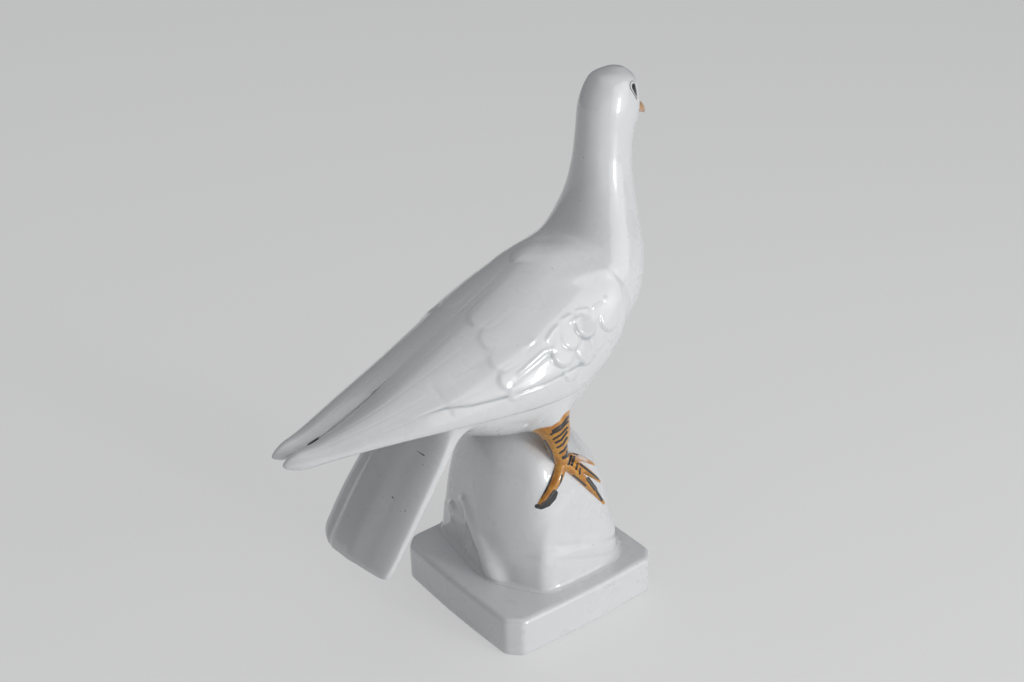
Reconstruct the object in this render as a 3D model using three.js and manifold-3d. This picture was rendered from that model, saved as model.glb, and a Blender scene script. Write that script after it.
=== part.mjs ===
// A white porcelain dove that perches on a rock, on a square plinth with cut corners.
// Its pieces are cast one by one and stuck together before they are glazed.
// Millimetres, +Z up, +X the way the dove looks, +Y its left side.

import * as THREE from 'three';
import { mergeVertices } from 'three/addons/utils/BufferGeometryUtils.js';
import Module from 'manifold-3d';

const wasm = await Module();
wasm.setup();

// Joint between two castings, and the vent that lets the inside breathe in the kiln
const JOINT = 0.3;
const VENT_RADIUS = 7;
const VENT_REACH = 20;

// Plinth
const PLINTH_SIDE = 108;
const PLINTH_HEIGHT = 24;
const PLINTH_CORNER = 7.6;
const PLINTH_CROWN = 1.3;
const PLINTH_EDGE = 2.2;
const PLINTH_WALL = 7.5;
const PLINTH_TOP = 6;

// Rock. Each cut face has a heading, a tilt upwards, and a distance from the middle of the
// rock's foot. A higher power keeps the edges between the faces sharper.
const ROCK_HEIGHT = 80;
const ROCK_X = 2;
const ROCK_CROWN = 9;
const EDGE_POWER = 12;
const BOULDER_FACES = [
  { heading: 0, up: 8, out: 44 },
  { heading: 48, up: 8, out: 46.5 },
  { heading: 40, up: 42, out: 69 },
  { heading: 92, up: 4, out: 51 },
  { heading: 135, up: 36, out: 74 },
  { heading: 172, up: 4, out: 38.5 },
  { heading: 200, up: 42, out: 75 },
  { heading: 211, up: 6, out: 39.5 },
  { heading: 270, up: 9, out: 41.5 },
  { heading: 262, up: 44, out: 75 },
  { heading: 318, up: 8, out: 50 },
  { heading: 318, up: 42, out: 68.5 },
];
const LEDGE_FACES = [
  { heading: 350, up: 6, out: 44 },
  { heading: 308, up: 6, out: 46 },
  { heading: 268, up: 6, out: 39.5 },
  { heading: 211, up: 6, out: 37.5 },
  { heading: 172, up: 6, out: 33 },
  { heading: 90, up: 6, out: 47 },
  { heading: 40, up: 6, out: 45 },
];
const LEDGE_HEIGHT = 18;
// A root that runs down the rock, and a knob above it: headings and heights are angles seen
// from the middle of the rock's foot.
const ROOT_PATH = [
  { heading: 122, height: 8, radius: 5 },
  { heading: 140, height: 14, radius: 6 },
  { heading: 158, height: 16, radius: 6 },
  { heading: 180, height: 12, radius: 6.5 },
  { heading: 200, height: 3, radius: 7 },
];
const ROOT_SINK = 1 / 3;
const KNOB = { heading: 137, height: 25, radius: 5, length: 3 };

// Half outline of the body, from the rump to the crown: a point on the back line, the
// point across from it on the belly line, and half the width between the two
const BODY = [
  { backX: -70, backZ: 56, bellyX: -70, bellyZ: 32, wide: 26.5 },
  { backX: -50, backZ: 73, bellyX: -50, bellyZ: 17.5, wide: 33 },
  { backX: -20, backZ: 94, bellyX: -14, bellyZ: 5.5, wide: 36.5 },
  { backX: 4, backZ: 106.5, bellyX: 19.7, bellyZ: 8, wide: 34.5 },
  { backX: 17, backZ: 110, bellyX: 44.3, bellyZ: 34.5, wide: 34 },
  { backX: 25, backZ: 113, bellyX: 65.3, bellyZ: 63.5, wide: 34.5 },
  { backX: 30.3, backZ: 121, bellyX: 73.5, bellyZ: 91.5, wide: 29 },
  { backX: 34.8, backZ: 133.7, bellyX: 72.8, bellyZ: 115.2, wide: 21.5 },
  { backX: 37.5, backZ: 149, bellyX: 71.3, bellyZ: 136.6, wide: 16.5 },
  { backX: 39, backZ: 164, bellyX: 71.1, bellyZ: 155.5, wide: 14.8 },
  { backX: 40.8, backZ: 180, bellyX: 75.7, bellyZ: 172.7, wide: 14.7 },
  { backX: 47.5, backZ: 191.6, bellyX: 73.9, bellyZ: 187.5, wide: 12.1 },
  { backX: 56.5, backZ: 195.3, bellyX: 68.2, bellyZ: 194.1, wide: 5.6 },
];
const RUMP = { x: -78, z: 42 };
const CROWN = { x: 62.5, z: 196 };

// Folded wing, from the shoulder to the tip: the upper and lower edge of each section, and
// how far it swells outwards and inwards between them
const WING = [
  { x: 43, topY: 35, topZ: 84.5, lowY: 31.5, lowZ: 62, out: 4.5, in: 5 },
  { x: 32, topY: 28.5, topZ: 99, lowY: 33.5, lowZ: 51, out: 8.5, in: 8 },
  { x: 18, topY: 14, topZ: 107, lowY: 37, lowZ: 44, out: 13.5, in: 9 },
  { x: 0, topY: 2.5, topZ: 107.2, lowY: 41.5, lowZ: 40, out: 17.5, in: 10 },
  { x: -22, topY: 0, topZ: 97.4, lowY: 42.5, lowZ: 40, out: 16.5, in: 10 },
  { x: -50, topY: 0, topZ: 82, lowY: 39.5, lowZ: 41, out: 13, in: 9 },
  { x: -80, topY: 0, topZ: 65.5, lowY: 33.2, lowZ: 41.5, out: 9.5, in: 6 },
  { x: -108, topY: 1.3, topZ: 51.3, lowY: 25, lowZ: 40.5, out: 7, in: 4.5 },
  { x: -133, topY: 0.4, topZ: 41.2, lowY: 16.5, lowZ: 38.5, out: 5, in: 4 },
  { x: -147, topY: 0.8, topZ: 38.6, lowY: 11.2, lowZ: 36.5, out: 4.8, in: 3.5 },
];
const SHOULDER = { x: 48, y: 34, z: 74 };
const WING_TIP = { x: -154, y: 5.5, z: 37.5 };
const WING_ARCH = 2;

// Feathers in relief on the wing: small ones at the shoulder and long ones behind them. Each
// has the place of its tip, forward along X and as a share of the way across the wing from
// its upper to its lower edge, and a turn downwards from the way the wing points.
const FEATHERS = [
  { tipX: 14, across: 0.475, length: 15, width: 14, turn: 62 },
  { tipX: 1, across: 0.487, length: 15, width: 14, turn: 62 },
  { tipX: -13, across: 0.49, length: 15, width: 14, turn: 60 },
  { tipX: 21, across: 0.6, length: 13, width: 11, turn: 64 },
  { tipX: 6.5, across: 0.6, length: 13, width: 13, turn: 66 },
  { tipX: -4.5, across: 0.632, length: 13, width: 11, turn: 62 },
  { tipX: 15, across: 0.705, length: 15, width: 11, turn: 64 },
  { tipX: 4.5, across: 0.72, length: 15, width: 13, turn: 62 },
  { tipX: -10, across: 0.695, length: 16, width: 15, turn: 58 },
  { tipX: -45.5, across: 0.27, length: 38, width: 18, turn: 4 },
  { tipX: -47.5, across: 0.42, length: 38, width: 15, turn: 5 },
  { tipX: -48, across: 0.545, length: 36, width: 12, turn: 7 },
  { tipX: -47, across: 0.67, length: 34, width: 13, turn: 10 },
];
const FEATHER_SWELL = 2.2;
const FEATHER_SINK = 0.9;
const FEATHER_TILT = 3;
// A scored line along the lower border of the wing
const BORDER = [
  { x: 8, across: 0.726 },
  { x: -22, across: 0.751 },
  { x: -42, across: 0.758 },
  { x: -63, across: 0.737 },
  { x: -85, across: 0.68 },
];
const BORDER_RADIUS = 0.9;

// Tail, from under the wings to its end
const TAIL = [
  { x: -53, y: -1, z: 54, wide: 20, thick: 9 },
  { x: -64, y: -1.8, z: 43, wide: 25, thick: 7 },
  { x: -79.5, y: -1.5, z: 23, wide: 29, thick: 4.5 },
  { x: -101, y: 0, z: -7, wide: 31.5, thick: 3.6 },
  { x: -113.5, y: 0, z: -25.1, wide: 31.3, thick: 3.4 },
  { x: -118, y: 0, z: -31.6, wide: 30.3, thick: 3 },
  { x: -120, y: 0, z: -34.4, wide: 27, thick: 2 },
];
const TAIL_SLOPE = 54;
const TAIL_ARCH = 3;
const TAIL_SKEW = 2.2;
const TAIL_SIDES = 0.6;
const TAIL_FACES = 0.5;
const FLUTES = 5;
const FLUTE_DEPTH = 0.7;

// Beak
const BEAK = [
  { x: 69, z: 171, high: 3.6, wide: 3.4 },
  { x: 79, z: 170.8, high: 3.3, wide: 3 },
  { x: 82, z: 169.6, high: 2.5, wide: 2.2 },
  { x: 83.6, z: 168, high: 1.3, wide: 1.2 },
];
const BEAK_TIP = { x: 84.3, z: 166.8 };

// Legs: the thigh leaves the belly, and the toes spread from the ankle over the rock. Each toe
// bends part way along and tapers to its claw.
const THIGH = { x: -3, y: 16, z: 28, radius: 15 };
const KNEE = { x: -1.5, y: 25.5, z: 12, radius: 9.5 };
const SHANK = { x: -0.5, y: 27.5, z: 1, radius: 6 };
const ANKLE = { heading: 270, height: 68, radius: 4.2 };
const TOES = [
  { heading: 242, height: 57, radius: 2.8 },
  { heading: 301, height: 47.5, radius: 3.1 },
  { heading: 302, height: 57, radius: 2.6 },
  { heading: 304, height: 63, radius: 2.2 },
];
const TOE_BEND = 0.5;
const TOE_TAPER = 0.8;
const TOE_SINK = 1 / 3;
const CLAW_RADIUS = 0.8;
const CLAW_REACH = 0.3;

// Steps along and sides round each form
const STEPS = {
  body: 36, wing: 30, feather: 5, tail: 14, rock: 16, limb: 8, edge: 3, crown: 6, halving: 20,
};
const NEARBY = 0.002;
const SIDES = {
  body: 30, wingOut: 14, wingIn: 5, feather: 8, tail: 26, rock: 36, limb: 8, vent: 20,
};

const perchZ = PLINTH_HEIGHT + ROCK_HEIGHT;
const radians = THREE.MathUtils.degToRad;
const porcelain = new THREE.MeshStandardMaterial({ color: 0xe9eaec, roughness: 0.12, metalness: 0 });
const legGlaze = new THREE.MeshStandardMaterial({ color: 0xc98220, roughness: 0.15, metalness: 0 });
const beakGlaze = new THREE.MeshStandardMaterial({ color: 0xd8a878, roughness: 0.2, metalness: 0 });

// One smooth size for each name in a list of stations, from the first at 0 to the last at 1.
function flow(stations) {
  return Object.fromEntries(Object.keys(stations[0]).map((name) => {
    const curve = new THREE.SplineCurve(stations.map((at, i) => new THREE.Vector2(i, at[name])));
    return [name, (t) => curve.getPoint(t).y];
  }));
}

// Closed skin over rings of points, drawn in to one point at each end.
function skin(first, rings, last) {
  const count = rings[0].length;
  const top = 1 + (rings.length - 1) * count;
  const index = [];
  for (let side = 0; side < count; side += 1) {
    const next = (side + 1) % count;
    index.push(0, 1 + next, 1 + side);
    for (let low = 1; low < top; low += count) {
      const high = low + count;
      index.push(low + side, low + next, high + next, low + side, high + next, high + side);
    }
    index.push(top + side, top + next, top + count);
  }
  const geometry = new THREE.BufferGeometry().setFromPoints([first, ...rings.flat(), last]);
  geometry.setIndex(index);
  return solid(geometry);
}

function solid(geometry) {
  geometry.deleteAttribute('normal');
  geometry.deleteAttribute('uv');
  const merged = mergeVertices(geometry);
  return new wasm.Manifold(new wasm.Mesh({
    numProp: 3,
    vertProperties: Float32Array.from(merged.attributes.position.array),
    triVerts: Uint32Array.from(merged.index.array),
  }));
}

function piece(name, form, material) {
  const faces = form.getMesh();
  const geometry = new THREE.BufferGeometry();
  geometry.setAttribute('position', new THREE.BufferAttribute(faces.vertProperties, 3));
  geometry.setIndex(new THREE.BufferAttribute(faces.triVerts, 1));
  geometry.computeVertexNormals();
  const mesh = new THREE.Mesh(geometry, material);
  mesh.name = name;
  return mesh;
}

// Points round a ring: the angle runs from 0 to a full turn.
function ringOf(count, place) {
  return Array.from({ length: count }, (_, i) => place((i / count) * Math.PI * 2));
}

// The body is an ellipse between the back line and the belly line at every step. It is
// grown to cut a seat in its neighbours.
function bodyForm(grow) {
  const close = (end) => ({ backX: end.x, backZ: end.z, bellyX: end.x, bellyZ: end.z, wide: 0 });
  const size = flow([close(RUMP), ...BODY, close(CROWN)]);
  const rings = [];
  for (let step = 1; step < STEPS.body; step += 1) {
    const t = step / STEPS.body;
    const back = new THREE.Vector3(size.backX(t), 0, size.backZ(t) + perchZ);
    const belly = new THREE.Vector3(size.bellyX(t), 0, size.bellyZ(t) + perchZ);
    const middle = back.clone().lerp(belly, 0.5);
    const up = back.sub(belly);
    const deep = up.length() / 2 + grow;
    const wide = size.wide(t) + grow;
    up.normalize();
    rings.push(ringOf(SIDES.body, (angle) => middle.clone()
      .addScaledVector(up, Math.sin(angle) * deep)
      .add(new THREE.Vector3(0, Math.cos(angle) * wide, 0))));
  }
  const rump = new THREE.Vector3(RUMP.x - grow, 0, RUMP.z + perchZ);
  const crown = new THREE.Vector3(CROWN.x, 0, CROWN.z + perchZ + grow);
  return skin(rump, rings, crown);
}

// A folded wing is a lens between its upper and its lower edge. The hand is 1 for the left
// wing and -1 for the right. Returns the place of any point on the lens, with its outer face
// between 0 and 1 across and its inner face between 1 and 2. The outer face leaves the upper
// edge as a flat arch, which keeps the back smooth, and meets the lower edge as a round one.
function wingShape(hand, grow) {
  const size = wingSizes();
  return (along, across) => {
    const top = new THREE.Vector2(size.topY(along), size.topZ(along));
    const low = new THREE.Vector2(size.lowY(along), size.lowZ(along));
    const middle = top.clone().lerp(low, 0.5);
    const half = top.distanceTo(low) / 2 + grow;
    const wave = Math.sin(across * Math.PI);
    const swell = across < 1
      ? (size.out(along) + grow) * wave ** (WING_ARCH - across)
      : (size.in(along) + grow) * wave;
    const chord = top.sub(low).normalize();
    const outward = new THREE.Vector2(chord.y, -chord.x);
    const at = middle.addScaledVector(chord, Math.cos(across * Math.PI) * half)
      .addScaledVector(outward, swell);
    return new THREE.Vector3(size.x(along), at.x * hand, at.y + perchZ);
  };
}

function wingSizes() {
  const close = (end) => ({
    x: end.x, topY: end.y, topZ: end.z, lowY: end.y, lowZ: end.z, out: 0, in: 0,
  });
  return flow([close(SHOULDER), ...WING, close(WING_TIP)]);
}

// Share of the way along the wing at which it stands at a given distance forward, found by
// halving.
function alongAt(x) {
  const size = wingSizes();
  let near = 0;
  let far = 1;
  for (let cut = 0; cut < STEPS.halving; cut += 1) {
    const middle = (near + far) / 2;
    if (size.x(middle) > x) near = middle;
    else far = middle;
  }
  return near;
}

function wingForm(hand, grow) {
  const place = wingShape(hand, grow);
  const rings = [];
  for (let step = 1; step < STEPS.wing; step += 1) {
    const along = step / STEPS.wing;
    const ring = [];
    for (let i = 0; i < SIDES.wingOut; i += 1) ring.push(place(along, i / SIDES.wingOut));
    for (let i = 0; i < SIDES.wingIn; i += 1) ring.push(place(along, 1 + i / SIDES.wingIn));
    rings.push(hand > 0 ? ring : ring.reverse());
  }
  const front = new THREE.Vector3(SHOULDER.x + grow, SHOULDER.y * hand, SHOULDER.z + perchZ);
  const end = new THREE.Vector3(WING_TIP.x - grow, WING_TIP.y * hand, WING_TIP.z + perchZ);
  return skin(front, rings, end);
}

// One feather is a thin lens sunk into the wing, with its tip lifted a little.
function feather(hand, one) {
  const place = wingShape(hand, 0);
  const along = alongAt(one.tipX);
  const tip = place(along, one.across);
  const back = place(along + NEARBY, one.across).sub(tip).normalize();
  const down = place(along, one.across + NEARBY).sub(tip);
  down.addScaledVector(back, -down.dot(back)).normalize();
  const turn = radians(one.turn);
  const tipward = back.clone().multiplyScalar(Math.cos(turn)).addScaledVector(down, Math.sin(turn));
  const outward = back.clone().cross(down).multiplyScalar(-hand);
  const sideways = outward.clone().cross(tipward);
  const middle = tip.addScaledVector(tipward, -one.length / 2).addScaledVector(outward, -FEATHER_SINK);
  const lie = new THREE.Matrix4().makeBasis(tipward, sideways, outward).setPosition(middle);
  return solid(new THREE.SphereGeometry(1, SIDES.feather, STEPS.feather)
    .scale(one.length / 2, one.width / 2, FEATHER_SWELL)
    .rotateY(-radians(FEATHER_TILT))
    .applyMatrix4(lie));
}

// The wing with its feathers, the scored line along its lower border, and the plane at which
// the two wings meet.
function featheredWing(hand) {
  const place = wingShape(hand, 0);
  const border = limbForm(BORDER.map((stop) => ({
    at: place(alongAt(stop.x), stop.across), radius: BORDER_RADIUS,
  })));
  return FEATHERS.reduce((wing, one) => wing.add(feather(hand, one)), wingForm(hand, 0))
    .subtract(border).trimByPlane([0, hand, 0], JOINT / 2);
}

// The tail is a flat, slightly arched slab with flutes between its feathers. Its end runs a
// little askew.
function tailForm() {
  const size = flow(TAIL);
  const run = new THREE.Vector3(-Math.cos(radians(TAIL_SLOPE)), 0, -Math.sin(radians(TAIL_SLOPE)));
  const normal = new THREE.Vector3(run.z, 0, -run.x);
  const squarer = (wave, power) => Math.sign(wave) * Math.abs(wave) ** power;
  const rings = [];
  for (let step = 0; step <= STEPS.tail; step += 1) {
    const t = step / STEPS.tail;
    const middle = new THREE.Vector3(size.x(t), size.y(t), size.z(t) + perchZ);
    rings.push(ringOf(SIDES.tail, (angle) => {
      const across = squarer(Math.cos(angle), TAIL_SIDES);
      const through = squarer(Math.sin(angle), TAIL_FACES);
      const flute = through > 0 ? FLUTE_DEPTH * Math.cos(across * FLUTES * Math.PI) * through : 0;
      return middle.clone().add(new THREE.Vector3(0, across * size.wide(t), 0))
        .addScaledVector(normal, through * size.thick(t) - TAIL_ARCH * across ** 2 - flute)
        .addScaledVector(run, TAIL_SKEW * across * t ** 2);
    }).reverse());
  }
  const middle = (ring) => ring[0].clone().lerp(ring[SIDES.tail / 2], 0.5);
  return skin(middle(rings[0]), rings, middle(rings.at(-1)));
}

// Unit direction from a heading round the vertical axis and a height above the ground.
function pointing(heading, height) {
  return new THREE.Vector3(
    Math.cos(radians(heading)) * Math.cos(radians(height)),
    Math.sin(radians(heading)) * Math.cos(radians(height)),
    Math.sin(radians(height)),
  );
}

// How far a rounded block of cut faces under a flat top reaches from the middle of its foot.
function reach(faces, top, direction) {
  const sum = faces.reduce((total, face) => {
    const facing = direction.dot(pointing(face.heading, face.up)) / face.out;
    return total + Math.max(facing, 0) ** EDGE_POWER;
  }, (direction.z / top) ** EDGE_POWER);
  return sum ** (-1 / EDGE_POWER);
}

// The rock is a tall boulder with a lower ledge grown into it.
function rockPoint(heading, height, lift) {
  const direction = pointing(heading, height);
  const boulder = reach(BOULDER_FACES, ROCK_HEIGHT + ROCK_CROWN, direction);
  const ledge = reach(LEDGE_FACES, LEDGE_HEIGHT, direction);
  const surface = (boulder ** EDGE_POWER + ledge ** EDGE_POWER) ** (1 / EDGE_POWER);
  const foot = new THREE.Vector3(ROCK_X, 0, PLINTH_HEIGHT + JOINT);
  return direction.multiplyScalar(surface + lift).add(foot);
}

function rockForm(grow) {
  const rings = [];
  for (let step = 0; step < STEPS.rock; step += 1) {
    const height = (step / STEPS.rock) * 90;
    const degrees = THREE.MathUtils.radToDeg;
    rings.push(ringOf(SIDES.rock, (angle) => rockPoint(degrees(angle), height, grow)));
  }
  const foot = new THREE.Vector3(ROCK_X, 0, PLINTH_HEIGHT + JOINT);
  return skin(foot, rings, rockPoint(0, 90, grow));
}

// A limb is a round tube of changing radius along a smooth path, with a point at each end.
function limbForm(stops) {
  const path = new THREE.CatmullRomCurve3(stops.map((stop) => stop.at));
  const size = flow(stops.map((stop) => ({ radius: stop.radius })));
  const frames = path.computeFrenetFrames(STEPS.limb);
  const rings = [];
  for (let step = 0; step <= STEPS.limb; step += 1) {
    const t = step / STEPS.limb;
    const radius = size.radius(path.getUtoTmapping(t));
    rings.push(ringOf(SIDES.limb, (angle) => path.getPointAt(t)
      .addScaledVector(frames.normals[step], Math.cos(angle) * radius)
      .addScaledVector(frames.binormals[step], Math.sin(angle) * radius)));
  }
  const ends = [stops[0], stops.at(-1)].map((stop) => stop.radius / 2);
  const first = path.getPointAt(0).addScaledVector(frames.tangents[0], -ends[0]);
  const last = path.getPointAt(1).addScaledVector(frames.tangents[STEPS.limb], ends[1]);
  return skin(first, rings, last);
}

function rootForm() {
  const run = limbForm(ROOT_PATH.map((stop) => ({
    at: rockPoint(stop.heading, stop.height, -stop.radius * ROOT_SINK), radius: stop.radius,
  })));
  const knob = limbForm([-KNOB.radius, KNOB.length].map((lift) => ({
    at: rockPoint(KNOB.heading, KNOB.height, lift), radius: KNOB.radius,
  })));
  return run.add(knob);
}

// A leg: thigh and shank down to the ankle, then the toes, each ending in a claw.
function legForm(hand) {
  const mirrored = (heading) => (hand > 0 ? 360 - heading : heading);
  const onRock = (spot, lift) => rockPoint(mirrored(spot.heading), spot.height, lift);
  const ankle = { at: onRock(ANKLE, ANKLE.radius * TOE_SINK), radius: ANKLE.radius };
  const bone = (spot) => ({
    at: new THREE.Vector3(spot.x, spot.y * hand, spot.z + perchZ), radius: spot.radius,
  });
  const toes = TOES.map((toe) => {
    const along = (share) => ({
      heading: ANKLE.heading + (toe.heading - ANKLE.heading) * share,
      height: ANKLE.height + (toe.height - ANKLE.height) * share,
    });
    return limbForm([
      { at: ankle.at, radius: toe.radius },
      { at: onRock(along(TOE_BEND), toe.radius * TOE_BEND), radius: toe.radius },
      { at: onRock(toe, toe.radius * TOE_SINK), radius: toe.radius * TOE_TAPER },
      { at: onRock(along(1 + CLAW_REACH), 0), radius: CLAW_RADIUS },
    ]);
  });
  const shank = limbForm([bone(THIGH), bone(KNEE), bone(SHANK), ankle]);
  return toes.reduce((leg, toe) => leg.add(toe), shank);
}

function beakForm() {
  const size = flow(BEAK);
  const rings = [];
  for (let step = 0; step <= STEPS.limb; step += 1) {
    const t = step / STEPS.limb;
    rings.push(ringOf(SIDES.limb, (angle) => new THREE.Vector3(
      size.x(t),
      Math.cos(angle) * size.wide(t),
      size.z(t) + perchZ + Math.sin(angle) * size.high(t),
    )));
  }
  const seat = new THREE.Vector3(BEAK[0].x, 0, BEAK[0].z + perchZ);
  return skin(seat, rings, new THREE.Vector3(BEAK_TIP.x, 0, BEAK_TIP.z + perchZ));
}

// Square outline with cut corners and slightly crowned sides.
function plinthOutline(inset) {
  const half = PLINTH_SIDE / 2 - inset;
  const straight = half - PLINTH_CORNER;
  const outline = new THREE.Shape().moveTo(half, -straight);
  for (let side = 0; side < 4; side += 1) {
    const turn = (side * Math.PI) / 2;
    const turned = (x, y) => new THREE.Vector2(x, y).rotateAround(new THREE.Vector2(), turn);
    const crown = turned(half + PLINTH_CROWN * 2, 0);
    const end = turned(half, straight);
    const corner = turned(straight, half);
    outline.quadraticCurveTo(crown.x, crown.y, end.x, end.y);
    outline.lineTo(corner.x, corner.y);
  }
  return outline;
}

function plinthForm() {
  const block = solid(new THREE.ExtrudeGeometry(plinthOutline(PLINTH_EDGE), {
    depth: PLINTH_HEIGHT - 2 * PLINTH_EDGE,
    bevelThickness: PLINTH_EDGE,
    bevelSize: PLINTH_EDGE,
    bevelSegments: STEPS.edge,
    curveSegments: STEPS.crown,
  }).translate(0, 0, PLINTH_EDGE));
  const hollow = solid(new THREE.ExtrudeGeometry(plinthOutline(PLINTH_WALL), {
    depth: PLINTH_HEIGHT, bevelEnabled: false, curveSegments: STEPS.crown,
  }).translate(0, 0, -PLINTH_TOP));
  return block.subtract(hollow);
}

// One straight vent runs from the open underside of the plinth up into the body.
const ventTop = perchZ + VENT_REACH;
const vent = solid(new THREE.CylinderGeometry(VENT_RADIUS, VENT_RADIUS, ventTop, SIDES.vent)
  .rotateX(Math.PI / 2).translate(ROCK_X, 0, ventTop / 2));

const bodySeat = bodyForm(JOINT);
const plinthSeat = solid(new THREE.BoxGeometry(PLINTH_SIDE, PLINTH_SIDE, PLINTH_HEIGHT)
  .translate(0, 0, PLINTH_HEIGHT / 2 + JOINT));
const rock = rockForm(0).add(rootForm()).subtract(plinthSeat).subtract(bodySeat).subtract(vent);
const rockSeat = rockForm(JOINT).add(rootForm());
const beak = beakForm().subtract(bodySeat);
const body = bodyForm(0).subtract(vent);
const wings = [1, -1].map((hand) => featheredWing(hand).subtract(bodySeat));
const wingSeat = wingForm(1, JOINT).add(wingForm(-1, JOINT));
const tail = tailForm().subtract(bodySeat).subtract(wingSeat);
const legs = [1, -1].map((hand) => legForm(hand).subtract(bodySeat).subtract(rockSeat));

const root = new THREE.Group();
root.add(piece('body', body, porcelain));
root.add(piece('wing_left', wings[0], porcelain));
root.add(piece('wing_right', wings[1], porcelain));
root.add(piece('tail', tail, porcelain));
root.add(piece('beak', beak, beakGlaze));
root.add(piece('leg_left', legs[0], legGlaze));
root.add(piece('leg_right', legs[1], legGlaze));
root.add(piece('rock', rock, porcelain));
root.add(piece('plinth', plinthForm().subtract(vent), porcelain));

// The origin is the middle of the underside of the whole figurine's box.
const box = new THREE.Box3().setFromObject(root);
const middle = box.getCenter(new THREE.Vector3());
root.position.set(-middle.x, -middle.y, -box.min.z);

export default root;
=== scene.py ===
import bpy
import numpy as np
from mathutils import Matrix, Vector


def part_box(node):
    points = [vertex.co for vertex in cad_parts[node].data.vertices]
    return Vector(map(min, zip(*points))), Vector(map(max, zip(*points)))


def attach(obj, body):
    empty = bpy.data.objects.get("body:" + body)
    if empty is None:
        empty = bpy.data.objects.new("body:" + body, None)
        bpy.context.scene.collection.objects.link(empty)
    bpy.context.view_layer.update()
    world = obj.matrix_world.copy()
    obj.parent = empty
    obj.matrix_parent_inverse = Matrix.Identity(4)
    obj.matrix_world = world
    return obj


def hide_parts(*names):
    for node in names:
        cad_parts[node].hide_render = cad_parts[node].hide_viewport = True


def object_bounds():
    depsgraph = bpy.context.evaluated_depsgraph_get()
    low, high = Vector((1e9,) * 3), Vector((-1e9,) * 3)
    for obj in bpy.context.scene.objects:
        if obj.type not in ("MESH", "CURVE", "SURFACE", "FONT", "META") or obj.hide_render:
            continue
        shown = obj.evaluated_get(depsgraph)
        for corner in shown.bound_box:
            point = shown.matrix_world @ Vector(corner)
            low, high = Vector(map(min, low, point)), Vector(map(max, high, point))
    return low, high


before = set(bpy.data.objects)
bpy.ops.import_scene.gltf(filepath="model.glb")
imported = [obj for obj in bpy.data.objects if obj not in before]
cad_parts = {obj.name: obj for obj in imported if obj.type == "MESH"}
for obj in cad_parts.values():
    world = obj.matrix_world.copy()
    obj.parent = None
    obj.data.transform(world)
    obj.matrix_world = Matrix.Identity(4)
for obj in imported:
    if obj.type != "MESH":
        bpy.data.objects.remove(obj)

# %% [markdown]
# # A white porcelain dove on a rock
#
# The real object is a glazed figurine: a dove with folded wings that perches on a rock, on a
# square plinth with cut corners. Each part is cast by itself, the parts are stuck together
# with wet clay, and the whole is dipped in glaze. This lesson builds every part as one smooth
# surface that a formula draws, because glaze hides all seams and flat spots, and a formula can
# be made as fine as the light asks for. All sizes are in millimetres until the mesh is made.

MM = 0.001
size_at_start = [list(corner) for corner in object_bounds()]
plinth_low, plinth_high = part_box("plinth")
MIDDLE_X = (plinth_low[0] + plinth_high[0]) / 2 / MM
PERCH_Z = 104.0
PLINTH_TOP_Z = 24.0
frame_size = np.round(np.ptp(size_at_start, axis=0) / MM, 1)
print("frame is", frame_size, "mm, plinth middle at x", round(MIDDLE_X, 2))

# %% [markdown]
# ## Curves and skins
#
# A potter's form has a few stations where its size is known, and it runs smoothly between them.
# One helper draws that smooth run, and one closes a skin over the rings that it gives. The table
# gets a mirrored row past each end, so that the run passes over the end as a round pole does.


# %% A smooth run through a table of stations
def run_through(table):
    """Catmull-Rom curve: between two rows it is the cubic with the mean slope of their neighbours."""
    table = np.asarray(table, float)
    last = len(table) - 3

    def at(t):
        place = np.clip(t, 0, 1) * last
        row = np.minimum(place.astype(int), last - 1)
        w = (place - row)[..., None]
        before, start, end, after = (table[row + k] for k in range(4))
        leave, arrive = (end - before) / 2, (after - start) / 2
        return ((2 * (start - end) + leave + arrive) * w**3
                + (3 * (end - start) - 2 * leave - arrive) * w**2 + leave * w + start)
    return at


# %% Soft slopes, bells and even steps
def smooth_step(value):
    """0 below 0, 1 above 1 and a soft slope between them."""
    value = np.clip(value, 0, 1)
    return value * value * (3 - 2 * value)


def bell(away, wide, power=2):
    """1 where away is 0, falling off on both sides over a given width."""
    return np.exp(-((away / wide) ** power))


def once_round(sides):
    """Angles once round a ring, in equal steps."""
    return np.linspace(0, 2 * np.pi, sides, endpoint=False)


def toward_ends(count):
    """Steps from 0 to 1 that lie closer together at both ends, as half a cosine wave does."""
    return 0.5 - 0.5 * np.cos(np.linspace(0, np.pi, count + 2)[1:-1])


# %% How far a point lies from a line, and a blur for the relief
def away_from(points, path):
    """Distance of each point to the nearest piece of a path of straight pieces."""
    nearest = np.full(points.shape[:-1], np.inf)
    path = np.asarray(path, float)
    for start, end in zip(path[:-1], path[1:]):
        piece = end - start
        share = np.clip((points - start) @ piece / (piece @ piece), 0, 1)
        off = points - start - share[..., None] * piece
        nearest = np.minimum(nearest, np.linalg.norm(off, axis=-1))
    return nearest


def soften(field, times):
    """A small blur on a grid whose rows are closed rings: each value is averaged with its
    neighbours along and across, several times."""
    for _ in range(times):
        ends = np.pad(field, ((1, 1), (0, 0)), mode="edge")
        sides = np.pad(field, ((0, 0), (1, 1)), mode="wrap")
        field = (ends[:-2] + ends[2:] + sides[:, :-2] + sides[:, 2:]) / 8 + field / 2
    return field


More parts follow.
